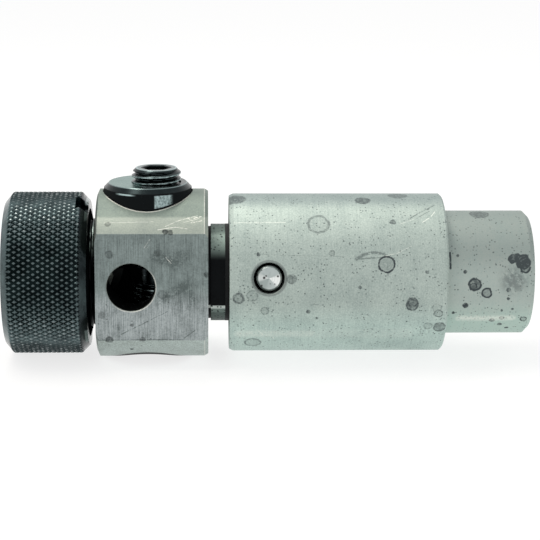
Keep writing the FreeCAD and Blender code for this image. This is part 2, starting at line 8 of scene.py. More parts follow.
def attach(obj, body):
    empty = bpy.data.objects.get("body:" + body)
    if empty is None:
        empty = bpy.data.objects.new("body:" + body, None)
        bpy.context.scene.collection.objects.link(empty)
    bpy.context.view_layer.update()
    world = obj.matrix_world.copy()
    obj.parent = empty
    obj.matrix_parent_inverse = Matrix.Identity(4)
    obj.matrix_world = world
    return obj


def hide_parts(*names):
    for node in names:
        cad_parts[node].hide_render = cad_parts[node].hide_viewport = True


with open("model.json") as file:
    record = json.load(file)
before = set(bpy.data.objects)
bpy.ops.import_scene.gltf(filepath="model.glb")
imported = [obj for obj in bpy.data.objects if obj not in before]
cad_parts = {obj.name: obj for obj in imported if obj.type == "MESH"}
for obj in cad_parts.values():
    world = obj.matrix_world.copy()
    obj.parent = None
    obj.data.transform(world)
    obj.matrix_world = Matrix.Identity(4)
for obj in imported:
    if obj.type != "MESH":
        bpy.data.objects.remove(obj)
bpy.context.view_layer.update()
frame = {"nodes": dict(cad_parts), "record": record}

mm = 0.001
jawX = -59.3  # the jaws' common axis
screwX = -57.6  # the jaw screw's axis, behind it
print("frame loaded")


# Shader maths: an operator on a Wire adds the node that does it
class Wire:
    def __init__(self, tree, socket):
        self.tree = tree
        self.socket = socket

    def node(self, kind, settings=None, sockets=None, output=0):
        made = self.tree.nodes.new(kind)
        for name, value in (settings or {}).items():
            setattr(made, name, value)
        for name, value in (sockets or {}).items():
            self.join(value, made.inputs[name])
        return Wire(self.tree, made.outputs[output]) if len(made.outputs) else None

    def join(self, value, target):
        if isinstance(value, Wire):
            self.tree.links.new(value.socket, target)
        elif target.type == "RGBA" and len(value) == 3:
            target.default_value = (*value, 1)
        else:
            target.default_value = value

    def isWide(self):
        return self.socket.type in ("VECTOR", "RGBA")

    def math(self, kind, *values):
        wide = any(isinstance(v, tuple) or (isinstance(v, Wire) and v.isWide()) for v in values)
        if wide:
            filled = [v if isinstance(v, (Wire, tuple)) else (v, v, v) for v in values]
            return self.node("ShaderNodeVectorMath", {"operation": kind}, dict(enumerate(filled)))
        return self.node("ShaderNodeMath", {"operation": kind}, dict(enumerate(values)))

    def __add__(self, other):
        return self.math("ADD", self, other)

    def __radd__(self, other):
        return self.math("ADD", other, self)

    def __sub__(self, other):
        return self.math("SUBTRACT", self, other)

    def __rsub__(self, other):
        return self.math("SUBTRACT", other, self)

    def __mul__(self, other):
        return self.math("MULTIPLY", self, other)

    def __rmul__(self, other):
        return self.math("MULTIPLY", other, self)

    def __truediv__(self, other):
        return self.math("DIVIDE", self, other)

    def __rtruediv__(self, other):
        return self.math("DIVIDE", other, self)

    def __abs__(self):
        return self.math("ABSOLUTE", self)

    def larger(self, other):
        return self.math("MAXIMUM", self, other)

    def smaller(self, other):
        return self.math("MINIMUM", self, other)

    def part(self, axis):
        return self.node("ShaderNodeSeparateXYZ", {}, {0: self}, axis)

    # 0 at start, 1 at end, smooth between
    def step(self, start, end):
        settings = {"interpolation_type": "SMOOTHSTEP"}
        return self.node("ShaderNodeMapRange", settings, {"Value": self, "From Min": start, "From Max": end})

    # first where this is 0, second where it is 1
    def mix(self, first, second):
        return self.node("ShaderNodeMix", {"data_type": "RGBA"}, {0: self, 6: first, 7: second}, 2)

    # White where this is 0, the colour where it is 1, to multiply another colour by
    def tint(self, colour):
        return self.mix((1, 1, 1), colour)

    def noise(self, scale, detail=3.0, rough=0.5, stretch=(1, 1, 1)):
        sockets = {"Vector": self * stretch, "Scale": scale, "Detail": detail, "Roughness": rough}
        return self.node("ShaderNodeTexNoise", {}, sockets)

    # Noise that changes with this number alone, for turned rings
    def ringNoise(self, scale, detail):
        sockets = {"W": self, "Scale": scale, "Detail": detail}
        return self.node("ShaderNodeTexNoise", {"noise_dimensions": "1D"}, sockets)

    def reach(self, point):
        return self.node("ShaderNodeVectorMath", {"operation": "DISTANCE"}, {0: self, 1: point}, 1)

    def dot(self, direction):
        return self.node("ShaderNodeVectorMath", {"operation": "DOT_PRODUCT"}, {0: self, 1: direction}, 1)

    # The fixed vector made as long as this number
    def along(self, vector):
        return self.node("ShaderNodeVectorMath", {"operation": "SCALE"}, {0: vector, 3: self})

    def bump(self, strength, depth):
        return self.node("ShaderNodeBump", {}, {"Height": self, "Strength": strength, "Distance": depth * mm})


# A material's tree, and the surface's own coordinates in millimetres
def startMaterial(name):
    material = bpy.data.materials.new(name)
    material.use_nodes = True
    material.node_tree.nodes.clear()
    source = material.node_tree.nodes.new("ShaderNodeTexCoord")
    return material, Wire(material.node_tree, source.outputs["Object"]) * (1000, 1000, 1000)


def endMaterial(place, **values):
    named = {key.replace("_", " "): value for key, value in values.items()}
    shader = place.node("ShaderNodeBsdfPrincipled", {}, named)
    place.node("ShaderNodeOutputMaterial", {}, {"Surface": shader})


# Distance from the part's axis
def axisDistance(place):
    return (place * (0, 1, 1)).reach((0, 0, 0))


# Distance from an upright axis
def postDistance(place, axisX):
    return (place * (1, 1, 0)).reach((axisX, 0, 0))


# Place across the tilted axis of the cross pin: to the right, and up
pinPlace = {"axisX": -35.3, "tilt": math.radians(8.8)}


def acrossPin(place):
    up = place.dot((0, math.sin(pinPlace["tilt"]), math.cos(pinPlace["tilt"])))
    return place.node("ShaderNodeCombineXYZ", {}, {0: place.part(0) - pinPlace["axisX"], 1: up})


# Small dark pits at the random points of a cell pattern, rarer with a higher share
def pits(place, scale, size, share):
    cells = {"Vector": place, "Scale": scale}
    near = place.node("ShaderNodeTexVoronoi", {}, cells, 0)
    chance = place.node("ShaderNodeTexVoronoi", {}, cells, 1).part(0)
    return near.step(size * scale, size * scale * 0.4) * chance.step(share, share + 0.05)


# Stains: each has its centre, radius, half width of its rim, strength of the rim, and strength inside
def stains(place, spots):
    warped = place + (place.noise(1.1, 3) - 0.5) * 0.6
    patchy = place.noise(1.7, 3).step(0.3, 0.6) * 0.5 + 0.5
    total = None
    for centre, radius, width, rim, inner in spots:
        away = warped.reach(centre)
        edge = abs(away - radius).step(width, width * 0.3) * rim
        one = edge.larger(away.step(radius, radius * 0.75) * inner)
        total = one if total is None else total.larger(one)
    return total * patchy


# Thin lines, each with its start, end, half width and strength
def lines(place, rows):
    warped = place + (place.noise(0.8, 2) - 0.5) * 0.25
    broken = place.noise(2.4, 2).step(0.3, 0.5)
    total = None
    for start, end, width, strength in rows:
        span = Vector(end) - Vector(start)
        unit = tuple(span.normalized())
        aside = warped - tuple(start)
        held = aside.dot(unit).larger(0.0).smaller(span.length)
        one = (aside - held.along(unit)).reach((0, 0, 0)).step(width, width * 0.3) * strength
        total = one if total is None else total.larger(one)
    return total * broken


# A thread's height from 0 to 1 about the part's axis
def threadWave(place, pitch):
    angle = place.math("ARCTAN2", place.part(2), place.part(1)) / (2 * math.pi)
    return place.math("PINGPONG", place.part(0) / pitch + angle, 0.5) * 2


print("shader tools ready")

# Bare steel of the housing and shank. A pair of places says where a tone starts and where it is full
housingLook = {
    "colour": (0.50, 0.57, 0.525),
    "dullColour": (0.325, 0.39, 0.37),
    # lowShine over lowBand: painted light on the lower side, standing in for light from below
    "lowShine": (1.22, 1.28, 1.28),
    "lowBand": (-2.0, -9.0),
    # topShade over topBand: painted shade on the top
    "topShade": (0.74, 0.76, 0.79),
    "topBand": (14.2, 15.8),
    "shankStart": (0.1, 0.3),
    "shankColour": (0.36, 0.40, 0.37),
    # shankLowShine: the shank's share of the painted light on the lower side
    "shankLowShine": (1.22, 1.32, 1.28),
    # shankShine over shankShineBand: painted light on the shank's lower side; shankShade over shankShadeBand:
    # painted shade on its top
    "shankShine": (1.2, 1.2, 1.2),
    "shankShineBand": (7.0, 1.0),
    "shankShade": (0.89, 0.90, 0.91),
    "shankShadeBand": (3.0, 8.0),
    # Painted shade in the pin's countersink and inside the bore
    "sinkShadeColour": (0.17, 0.19, 0.185),
    "sinkRadius": (3.66, 3.5),
    "boreShadeColour": (0.15, 0.16, 0.155),
    "boreRadius": (11.2, 10.8),
    "threadRadius": (8.6, 8.4),
    "threadStart": (-6.0, -5.5),
    "threadPitch": 1.5,
    "threadHeight": 40,  # in the bump, where the turning marks have 1
    "roughness": 0.56,
    "lineDepth": 0.003,
    # Colour of scratches and of painted highlights
    "scratchAndHighlightColour": (0.85, 0.87, 0.80),
    "stainColour": (0.10, 0.12, 0.125),
    "mottledPlace": (13.4, -12.4, 1.2),
    "mottledReach": (4.0, 1.0),
    "stains": [
        ((-25.5, -10.4, 12.16), 2.0, 0.42, 0.5, 0.08),
        ((-12.37, -15.18, 5.07), 1.55, 0.26, 1.3, 0.25),
        ((-7.16, -15.72, -2.98), 1.1, 0.3, 0.9, 0.65),
        ((-7.16, -15.5, -2.4), 0.9, 0.35, 0.9, 0.5),
        ((-41.3, -15.93, -1.54), 0.95, 0.34, 0.75, 0.3),
        ((-38.57, -15.97, -1.03), 1.05, 0.22, 0.4, 0.12),
        ((-36.15, -15.44, -4.21), 0.75, 0.2, 0.5, 0.2),
        ((-30.97, -15.83, 2.34), 0.8, 0.3, 0.6, 0.5),
        ((-31.1, -15.8, 2.6), 0.4, 0.2, 0.7, 0.3),
        ((-1.46, -13.87, -7.98), 1.1, 0.28, 0.7, 0.55),
        ((-3.79, -14.01, -7.73), 0.8, 0.22, 0.45, 0.2),
        ((-1.88, -15.25, -4.85), 0.8, 0.2, 0.65, 0.2),
        ((-2.3, -15.4, -3.6), 0.9, 0.15, 0.4, 0.1),
        ((-16.29, -3.74, 15.56), 1.3, 0.4, 0.8, 0.7),
        ((-8.95, -0.71, 15.98), 1.6, 0.6, 0.6, 0.6),
        ((-38.39, -10.62, -11.97), 1.55, 0.3, 0.6, 0.18),
        ((-41.9, -2.9, 15.72), 1.9, 0.6, 0.7, 0.75),
        ((-10.73, -10.02, 12.47), 0.45, 0.3, 0.7, 0.6),
        ((-23.02, -14.34, 7.1), 0.45, 0.22, 0.55, 0.3),
        ((-37.4, -14.42, 6.93), 0.28, 0.2, 0.9, 0.9),
        ((15.22, -11.59, 4.69), 1.25, 0.4, 1.6, 1.5),
        ((13.14, -11.34, 5.25), 0.75, 0.3, 1.4, 1.2),
        ((14.0, -11.4, 5.6), 0.7, 0.3, 1.2, 1.2),
        ((15.5, -11.95, 3.6), 0.95, 0.3, 1.4, 0.6),
        ((5.58, -12.5, 0.34), 1.15, 0.32, 1.5, 0.8),
        ((5.3, -12.5, 0.0), 0.6, 0.2, 1.2, 0.3),
        ((8.04, -12.42, -1.42), 0.95, 0.26, 1.5, 0.45),
        ((15.92, -10.08, -7.4), 0.6, 0.18, 1.0, 0.3),
        ((7.57, -1.75, 12.38), 1.75, 0.35, 0.7, 0.65),
        ((3.89, -11.8, -4.13), 0.42, 0.3, 1.2, 1.2),
        ((1.68, -11.1, -5.74), 0.22, 0.2, 1.0, 1.0),
        ((3.65, -12.16, 2.91), 0.22, 0.2, 0.9, 0.9),
        ((2.12, -11.07, 5.81), 0.18, 0.16, 0.9, 0.9),
        ((12.25, -12.47, -0.8), 0.32, 0.22, 0.8, 0.8),
        ((12.44, -12.23, -2.6), 0.22, 0.2, 0.9, 0.9),
        ((11.25, -11.32, -5.3), 0.2, 0.18, 0.9, 0.9),
        ((13.35, -11.48, -4.95), 0.18, 0.16, 0.8, 0.8),
        ((9.61, -9.9, -7.64), 0.42, 0.2, 1.0, 0.6),
        ((11.53, -10.27, -7.13), 0.4, 0.18, 0.9, 0.5),
        ((11.35, -8.95, -8.73), 0.35, 0.2, 0.9, 0.6),
        ((12.96, -7.79, -9.78), 0.3, 0.2, 0.9, 0.9),
        ((-27.6, -15.4, -4.4), 0.3, 0.2, 0.8, 0.8),
        ((-25.8, -14.9, -5.8), 0.2, 0.2, 0.8, 0.8),
        ((-17.6, -16.0, 0.6), 0.25, 0.2, 0.8, 0.8),
        ((-4.4, -15.6, 3.6), 0.28, 0.2, 0.8, 0.8),
        ((-28.0, 9.5, 12.9), 1.8, 0.35, 0.6, 0.2),
        ((-14.5, 15.3, 4.7), 1.3, 0.3, 0.9, 0.3),
        ((-35.0, 15.6, -3.5), 0.9, 0.3, 0.6, 0.4),
        ((-8.0, 13.0, -9.3), 1.4, 0.3, 0.6, 0.2),
        ((6.5, 12.3, -2.0), 1.1, 0.3, 1.1, 0.5),
        ((10.0, 10.5, 6.8), 0.8, 0.3, 0.9, 0.4),
        ((-22.0, 3.0, -15.7), 1.5, 0.35, 0.6, 0.2),
    ],
    "darkLines": [
        ((-37.5, -14.42, 6.9), (-0.6, -14.75, 6.1), 0.06, 0.45),
        ((-18.2, -14.76, 6.1), (-16.75, -14.43, 6.91), 0.5, 0.5),
        ((-16.9, -14.43, 6.9), (-14.6, -14.22, 7.35), 0.45, 0.5),
        ((-14.8, -14.25, 7.3), (-12.4, -14.39, 6.99), 0.4, 0.5),
        ((-17.6, -14.8, 6.1), (-12.2, -14.65, 6.45), 0.2, 0.5),
        ((-7.51, -9.4, 12.95), (-2.14, -5.74, 14.93), 0.24, 0.55),
        ((-6.0, -9.3, 13.0), (-3.0, -7.3, 14.25), 0.14, 0.5),
        ((-27.1, -15.73, -2.94), (-25.7, -15.75, -2.83), 0.12, 0.4),
        ((0.62, -10.77, 6.35), (0.75, -11.97, 3.59), 0.28, 1.6),
    ],
    "brightLines": [
        ((-42.1, -10.2, 12.36), (-32.0, -10.11, 12.42), 0.10, 0.6),
        ((-4.9, -10.1, 12.45), (-3.5, -9.2, 13.1), 0.10, 0.8),
        ((-3.0, -8.8, 13.4), (-2.2, -7.6, 14.1), 0.12, 0.8),
        ((-9.6, -10.5, 12.1), (-6.4, -9.4, 12.95), 0.07, 0.6),
        ((-12.6, -14.56, 6.63), (-10.07, -14.3, 7.17), 0.08, 0.6),
        ((-10.1, -14.3, 7.17), (-7.27, -13.61, 8.42), 0.08, 0.5),
        ((-35.9, -13.79, -8.11), (-34.14, -11.78, -10.83), 0.09, 0.9),
        ((-37.6, -13.57, -8.47), (-36.36, -12.59, -9.88), 0.10, 0.8),
        ((-42.1, -12.8, -9.59), (-36.57, -12.98, -9.36), 0.12, 0.5),
        # Painted highlights: soft bands and thin lines low on the housing and shank, standing in for light
        # from below
        ((-41.0, -12.9, -9.6), (-27.0, -12.9, -9.6), 1.5, 0.30),
        ((-30.0, -12.9, -9.6), (-8.0, -12.9, -9.6), 2.2, 0.12),
        ((3.0, -10.3, -7.2), (13.5, -10.3, -7.2), 1.2, 0.45),
        ((2.9, -10.29, -7.1), (8.4, -10.2, -7.2), 0.14, 0.9),
        ((9.0, -10.3, -7.1), (14.2, -10.26, -7.14), 0.14, 0.8),
    ],
}


def bareSteelHousing(look):
    material, place = startMaterial("bare_steel_housing")
    x, z, away = place.part(0), place.part(2), axisDistance(place)
    turned = place.noise(2.2, 4, 0.65, (3.2, 0.03, 0.03))
    cloud = place.noise(0.16, 5, 0.6)
    grain = place.noise(3.4, 4, 0.75)
    peppered = place.noise(0.35, 3, 0.6).step(0.37, 0.56)
    specks = (pits(place, 0.5, 0.22, 0.55) * 0.85).larger(pits(place, 1.6, 0.2, 0.35) * peppered * 0.75)
    marks = stains(place, look["stains"]).larger(lines(place, look["darkLines"])).larger(specks).smaller(1.0)
    # Scratches, and painted highlight bands low on the housing and shank
    light = lines(place, look["brightLines"]).smaller(1.0)
    mottled = place.reach(look["mottledPlace"]).step(*look["mottledReach"])
    mottled = mottled * place.noise(1.1, 4, 0.7).step(0.3, 0.6) * 0.6
    dull = cloud.step(0.35, 0.7) * 0.25 + grain.step(0.35, 0.65) * 0.55 + turned.step(0.35, 0.7) * 0.25
    dull = (dull - 0.05).larger(0.0).smaller(1.0)
    onShank = x.step(*look["shankStart"])
    steel = dull.mix(onShank.mix(look["colour"], look["shankColour"]), look["dullColour"])
    # Painted shade on the shank's top, painted light on its lower side
    steel = steel * (onShank * z.step(*look["shankShadeBand"])).tint(look["shankShade"])
    steel = steel * (onShank * z.step(*look["shankShineBand"])).tint(look["shankShine"])
    # Painted light on the lower side of housing and shank, painted shade on the housing's top
    lowShine = onShank.mix(look["lowShine"], look["shankLowShine"])
    steel = steel * z.step(*look["lowBand"]).tint(lowShine) * z.step(*look["topBand"]).tint(look["topShade"])
    # Painted shade in the pin's countersink and inside the bore
    inSink = acrossPin(place).reach((0, 0, 0)).step(*look["sinkRadius"]) * 0.6
    inBore = away.step(*look["boreRadius"])
    tone = inBore.mix(inSink.mix(steel, look["sinkShadeColour"]), look["boreShadeColour"])
    tone = marks.larger(mottled).mix(tone, look["stainColour"])
    thread = away.step(*look["threadRadius"]) * x.step(*look["threadStart"])
    thread = thread * threadWave(place, look["threadPitch"]) * look["threadHeight"]
    endMaterial(
        place,
        Base_Color=light.mix(tone, look["scratchAndHighlightColour"]),
        Metallic=1.0,
        Roughness=look["roughness"] + dull * 0.1 + marks * 0.2,
        Normal=(turned + grain * 0.6 - specks * 3.0 + thread).bump(0.6, look["lineDepth"]),
    )
    return material


# Bare steel of the head: milled flats with vertical grain, turned block, neck and nose
headLook = {
    "colour": (0.33, 0.365, 0.32),
    "dullColour": (0.25, 0.285, 0.265),
    # lowColour over lowBand: painted light on the lower side of the block's round
    "lowColour": (0.54, 0.62, 0.59),
    "lowBand": (-8.0, -11.0),
    # topShade over topBand: painted shade along the top of the block's round
    "topShade": (0.73, 0.78, 0.77),
    "topBand": (13.2, 13.8),
    "blockRear": -47.2,
    "flatY": 13.2,
    # flatHigh above flatLowBand, flatLow below it: painted shade on the flats' upper part, painted light on
    # their lower part
    "flatHigh": (0.31, 0.37, 0.36),
    "flatLow": (0.52, 0.57, 0.575),
    "flatLowBand": (0.5, -4.5),
    "flatDull": (0.112, 0.137, 0.133),
    # Neck: neckShade over its bands is painted shade at the upper and lower edges; neckDark is a painted
    # reflection of dark surroundings, neckLine a painted reflection of a thin light line
    "neckColour": (0.23, 0.29, 0.265),
    "neckShade": (0.55, 0.57, 0.57),
    "neckTopBand": (8.5, 9.3),
    "neckLowBand": (-6.3, -6.8),
    "neckDark": (0.010, 0.011, 0.012),
    "neckDarkTop": (7.2, 4.4),
    "neckDarkFoot": (-5.0, -4.8),
    "neckLine": (0.66, 0.71, 0.68),
    "neckLineTop": (-4.8, -5.0),
    "neckLineFoot": (-5.7, -5.5),
    "frontSide": (1.0, -2.0),
    "windowX": -62.4,
    "windowRadius": 4.8,
    # windowRim, jawRim and rearRim set painted highlights along those edges
    "windowRim": 0.13,  # how far the light rims lie from their edges
    "jawRadius": 9.0,
    "jawRim": 0.16,
    "rearRim": 0.72,
    # Painted shade inside the window and the jaws' bore
    "boreShadeColour": (0.02, 0.022, 0.022),
    "roughness": 0.5,
    "grainDepth": 0.004,
    # Colour of scratches and of the painted highlight rims
    "scratchAndHighlightColour": (0.80, 0.80, 0.74),
    "stainColour": (0.06, 0.07, 0.07),
    "stains": [
        ((-66.67, -13.2, 6.59), 0.65, 0.3, 0.5, 0.3),
        ((-55.63, -12.87, 11.1), 0.45, 0.3, 0.9, 0.8),
        ((-54.6, -12.9, 10.9), 0.35, 0.3, 0.7, 0.6),
        ((-57.0, -13.2, 7.0), 0.5, 0.4, 0.35, 0.4),
        ((-68.2, -13.2, -5.6), 0.5, 0.4, 0.3, 0.3),
        ((-62.2, -13.2, -7.6), 0.25, 0.2, 0.8, 0.8),
        ((-63.6, -14.6, -8.9), 0.28, 0.2, 1.0, 1.0),
        ((-60.2, -13.2, -10.6), 0.4, 0.3, 0.6, 0.6),
        ((-66.8, -13.2, -10.7), 0.6, 0.3, 0.7, 0.6),
        ((-56.2, -13.2, -1.4), 0.8, 0.3, 0.35, 0.2),
        ((-47.6, -13.2, 2.6), 0.35, 0.3, 0.7, 0.7),
        ((-66.8, -11.6, 12.4), 0.35, 0.3, 0.5, 0.4),
        ((-62.45, -10.7, -13.2), 0.25, 0.2, 1.0, 1.0),
        ((-60.0, 13.2, 5.0), 0.9, 0.25, 0.5, 0.2),
        ((-53.0, 13.2, -6.0), 1.2, 0.3, 0.5, 0.2),
    ],
    "darkLines": [
        ((-57.2, -13.2, -2.6), (-52.0, -13.2, 0.2), 1.5, 0.33),
        ((-52.0, -13.2, 0.2), (-47.6, -13.2, 1.9), 1.8, 0.2),
        ((-57.4, -13.2, 6.2), (-53.5, -13.2, 4.8), 1.6, 0.38),
        ((-54.0, -13.2, 5.0), (-48.5, -13.2, 3.2), 1.8, 0.28),
        ((-52.2, -13.2, 6.6), (-50.2, -13.2, -3.5), 1.7, 0.2),
        ((-64.4, -13.2, -9.5), (-55.3, -13.2, -4.9), 0.12, 0.6),
        ((-52.0, -13.2, -10.3), (-49.8, -13.2, -8.7), 0.10, 0.7),
        ((-69.0, -13.2, -10.68), (-52.0, -13.2, -10.6), 0.12, 0.5),
    ],
    "brightLines": [
        ((-59.74, -13.2, 7.98), (-58.6, -13.2, 9.7), 0.08, 0.55),
        ((-59.2, -13.2, 7.9), (-58.2, -13.2, 9.2), 0.05, 0.4),
        ((-55.5, -13.2, 6.1), (-54.45, -13.2, 4.9), 0.09, 0.75),
        ((-54.9, -13.2, 6.2), (-54.3, -13.2, 5.4), 0.06, 0.7),
        ((-57.0, -12.5, 11.5), (-53.5, -12.15, 11.9), 0.09, 0.8),
        ((-53.5, -12.15, 11.9), (-51.3, -12.4, 11.6), 0.08, 0.7),
        ((-55.6, -12.0, 12.0), (-53.0, -11.0, 12.96), 0.08, 0.7),
        ((-53.0, -11.0, 12.96), (-49.3, -10.0, 13.75), 0.08, 0.8),
        ((-52.0, -11.3, 12.7), (-49.0, -10.6, 13.3), 0.06, 0.6),
        ((-51.2, -10.4, 13.45), (-50.2, -11.2, 12.8), 0.07, 0.7),
        ((-50.0, -10.5, 13.35), (-48.6, -10.2, 13.6), 0.11, 0.9),
        ((-50.6, -11.4, 12.6), (-48.4, -11.0, 12.95), 0.10, 0.8),
        ((-67.6, -11.4, 12.6), (-58.0, -11.2, 12.8), 0.08, 0.4),
    ],
}


def bareSteelHead(look):
    material, place = startMaterial("bare_steel_head")
    x, y, z = place.part(0), place.part(1), place.part(2)
    flatY, blockRear = look["flatY"], look["blockRear"]
    grain = place.noise(1.5, 5, 0.65, (4.0, 0.2, 0.12))
    turned = place.noise(2.0, 4, 0.6, (4.0, 0.04, 0.04))
    cloud = place.noise(0.22, 5, 0.6)
    speckle = place.noise(3.6, 4, 0.75)
    specks = pits(place, 0.6, 0.18, 0.55) * 0.7
    marks = stains(place, look["stains"]).larger(specks)
    light = lines(place, look["brightLines"]).smaller(1.0)
    smudge = lines(place, look["darkLines"]) * (cloud.step(0.3, 0.6) * 0.5 + 0.5)
    onFlat = abs(y).step(flatY - 0.08, flatY - 0.02) * abs(y).step(flatY + 0.1, flatY + 0.02)
    onFlat = onFlat * x.step(blockRear + 0.2, blockRear)
    inNeck = x.step(blockRear - 0.02, blockRear + 0.02)
    inFront = y.step(*look["frontSide"])

    # The flats, with painted shade on their upper part and painted light on their lower part
    flatDull = grain.step(0.3, 0.65) * 0.5 + cloud.step(0.35, 0.7) * 0.3 + speckle.step(0.4, 0.7) * 0.25
    flatTone = z.step(*look["flatLowBand"]).mix(look["flatHigh"], look["flatLow"])
    flatTone = (flatDull + smudge).smaller(1.0).mix(flatTone, look["flatDull"])

    # The round of the block, with painted light on its lower side and painted shade along its top
    # The term in z adds painted shade along the top
    dull = cloud.step(0.4, 0.75) * 0.3 + speckle.step(0.35, 0.65) * 0.55 + z.step(13.3, 13.7) * 0.3
    roundTone = z.step(*look["lowBand"]).mix(look["colour"], look["lowColour"])
    roundTone = dull.smaller(1.0).mix(roundTone, look["dullColour"])
    roundTone = roundTone * z.step(*look["topBand"]).tint(look["topShade"])

    # The neck, with painted reflections of the dark and of a thin light line, painted shade at its upper and
    # lower edges and in the groove behind the block, and dark spots
    spots = pits(place, 1.4, 0.3, 0.35)
    shaded = z.step(*look["neckDarkTop"]) * z.step(*look["neckDarkFoot"]) * inFront
    shaded = shaded.larger(x.step(blockRear + 0.62, blockRear + 0.48)).larger(spots * 0.8)
    neckTone = shaded.larger(speckle.step(0.5, 0.7) * 0.3).mix(look["neckColour"], look["neckDark"])
    outer = z.step(*look["neckTopBand"]).larger(z.step(*look["neckLowBand"]))
    neckTone = neckTone * outer.tint(look["neckShade"])
    lit = z.step(*look["neckLineFoot"]) * z.step(*look["neckLineTop"]) * inFront * (1 - spots)
    neckTone = lit.mix(neckTone, look["neckLine"])

    # Painted highlights on the edges of the window, of the block's rear and of the jaw's bore
    fromWindow = (place * (1, 0, 1)).reach((look["windowX"], 0, 0))
    windowRim = abs(fromWindow - look["windowRadius"] - look["windowRim"]).step(0.16, 0.07)
    windowRim = windowRim * (x * 0.7 - z * 0.7).step(-44.2, -41.5) * onFlat * inFront
    rearRim = abs(x - blockRear + look["rearRim"]).step(0.14, 0.05) * speckle.step(0.35, 0.5) * (1 - onFlat)
    fromJaw = postDistance(place, jawX)
    jawRim = abs(fromJaw - look["jawRadius"] - look["jawRim"]).step(0.17, 0.08)
    jawRim = jawRim * y.step(-3.0, -5.0) * z.step(12.0, 13.0) * (speckle.step(0.3, 0.5) * 0.35 + 0.3)
    light = light.larger(windowRim * cloud.step(0.3, 0.5) * 0.6).larger(rearRim * 0.5).larger(jawRim)

    # Painted shade on the walls of the window and of the jaws' bore
    windowWall = fromWindow.step(look["windowRadius"] + 0.03, look["windowRadius"])
    windowWall = windowWall * abs(y).step(flatY - 0.1, flatY - 0.2)
    jawWall = fromJaw.step(look["jawRadius"] + 0.05, look["jawRadius"] + 0.02)

    tone = onFlat.mix(inNeck.mix(roundTone, neckTone), flatTone)
    tone = light.mix(marks.smaller(1.0).mix(tone, look["stainColour"]), look["scratchAndHighlightColour"])
    relief = grain * onFlat + (turned + speckle * 0.5) * (1 - onFlat) - specks * 2.0
    endMaterial(
        place,
        Base_Color=windowWall.larger(jawWall).mix(tone, look["boreShadeColour"]),
        Metallic=1.0,
        Roughness=look["roughness"] + dull * 0.12 + marks * 0.2,
        Normal=relief.bump(0.6, look["grainDepth"]),
    )
    return material


# Bright turned cross pin, its ends painted with highlight wedges and a wedge of painted shade about the
# tilted axis
pinLook = {
    "colour": (0.45, 0.50, 0.49),
    "smearAndShadeColour": (0.31, 0.36, 0.35),
    "wedgeHighlightColour": (0.86, 0.88, 0.86),
    "spotColour": (0.06, 0.06, 0.06),
    "roughness": 0.26,
    "ringDepth": 0.012,
}


def pinSteel(look):
    material, place = startMaterial("pin_steel")
    across = acrossPin(place)
    away = across.reach((0, 0, 0))
    rings = away.ringNoise(5.0, 3.0)
    facing = across / away.larger(0.05)
    # Painted highlight wedges to the right and left, painted shade to the lower left
    rightWedge = facing.dot((0.97, -0.25, 0)).step(0.72, 0.98)
    leftWedge = facing.dot((-0.99, 0.1, 0)).step(0.86, 1.0) * 0.5
    shine = rightWedge.larger(leftWedge)
    shade = facing.dot((-0.75, -0.66, 0)).step(0.7, 0.97) * 0.8
    smear = place.noise(0.9, 4, 0.6)
    spots = pits(place, 1.2, 0.3, 0.6).larger(across.reach((-1.0, 0.1, 0)).step(0.34, 0.16))
    tone = (smear.step(0.4, 0.75) * 0.6 + shade).smaller(1.0).mix(look["colour"], look["smearAndShadeColour"])
    tone = (shine * (rings.step(0.3, 0.6) * 0.4 + 0.6)).mix(tone, look["wedgeHighlightColour"])
    endMaterial(
        place,
        Base_Color=spots.mix(tone, look["spotColour"]),
        Metallic=1.0,
        Roughness=look["roughness"] + smear * 0.15,
        Normal=rings.bump(0.8, look["ringDepth"]),
    )
    return material


# Black oxide: the first mask says where wear has bared the metal and where highlights are painted on, the
# second where painted shade darkens it, the third where a painted reflection lightens it blue-green
def blackOxide(name, look, wearAndHighlightsAt, paintedShadeAt, paintedReflectionAt=None):
    material, place = startMaterial(name)
    smear = place.noise(0.35, 4, 0.6)
    fine = place.noise(5.0, 3, 0.6)
    wearAndHighlight = wearAndHighlightsAt(place).larger(fine.step(0.68, 0.8) * 0.3).smaller(1.0)
    rings = axisDistance(place).ringNoise(3.0, 4.0)
    dulled = place.part(0).step(*look["facedFrom"]).mix(smear, smear * 0.35 + rings * 0.65).step(0.35, 0.7)
    tone = dulled.mix(look["colour"], look["dullColour"])
    if paintedReflectionAt:
        tone = (paintedReflectionAt(place) * (0.85 + smear * 0.3)).smaller(1.0).mix(tone, look["faceReflectionColour"])
    dark = paintedShadeAt(place)
    matte = dark.step(0.85, 1.0) * (1 - wearAndHighlight)
    endMaterial(
        place,
        Base_Color=wearAndHighlight.mix(dark.mix(tone, look["paintedShadeColour"]), look["wearAndHighlightColour"]),
        Metallic=1 - matte,
        Roughness=(look["roughness"] + smear * 0.14 + matte * 0.5).smaller(1.0),
        Normal=(place.noise(1.1, 2) * look["uneven"] + fine).bump(0.35, 0.005),
        Specular_IOR_Level=look["specular"],
    )
    return material


oxideLook = {
    "colour": (0.036, 0.049, 0.051),
    "dullColour": (0.022, 0.031, 0.033),
    # Colours of painted shade, of wear with painted highlights, and of a painted reflection on the jaws' top
    # face
    "paintedShadeColour": (0.006, 0.008, 0.009),
    "wearAndHighlightColour": (0.42, 0.54, 0.54),
    "faceReflectionColour": (0.115, 0.225, 0.20),
    "facedFrom": (-87.4, -87.7),
    "roughness": 0.2,
    "specular": 0.1,
    "uneven": 0.0,
}

